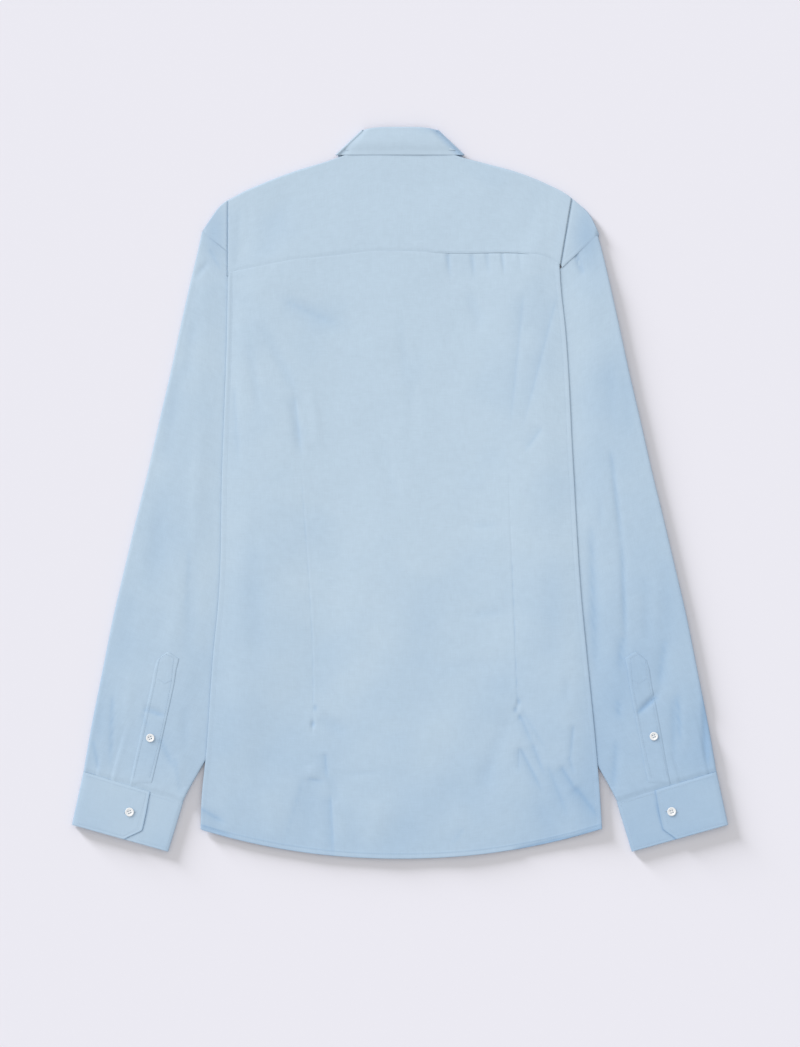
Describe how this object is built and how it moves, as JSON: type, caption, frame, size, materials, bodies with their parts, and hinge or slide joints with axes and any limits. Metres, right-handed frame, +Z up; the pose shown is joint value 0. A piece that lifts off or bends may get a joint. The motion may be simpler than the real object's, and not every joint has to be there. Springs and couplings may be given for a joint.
{
  "type": "long sleeve dress shirt",
  "caption": "Slim long sleeve dress shirt in pale blue poplin, laid flat with its back up, with a yoke, darts, button cuffs and a folded collar.",
  "frame": {"origin": "middle of the bounding box's underside, on the surface that the shirt lies on", "axes": "+Z up from the surface, out of the shirt's back; +Y towards the collar; +X to the wearer's right sleeve as seen from above"},
  "size_m": [0.7356, 0.8192, 0.0095],
  "materials": {
    "cloth": "fine smooth poplin weave with a slight sheen",
    "stiffened_cloth": "the same poplin over a stiffener, flatter and crisper",
    "button": "polished white shell-like plastic"
  },
  "bodies": {
    "root": {"back": "cloth", "yoke": "cloth", "front_left": "cloth", "front_right": "cloth", "front_placket": "stiffened_cloth", "sleeve_left": "cloth", "sleeve_right": "cloth", "sleeve_placket_left": "cloth", "sleeve_placket_right": "cloth", "cuff_left": "stiffened_cloth", "cuff_right": "stiffened_cloth", "collar_stand": "stiffened_cloth", "collar_leaf": "stiffened_cloth", "cuff_button_left": "button", "cuff_button_right": "button", "placket_button_left": "button", "placket_button_right": "button", "front_button_1": "button", "front_button_2": "button", "front_button_3": "button", "front_button_4": "button", "front_button_5": "button", "front_button_6": "button", "stand_button": "button"}
  },
  "joints": []
}
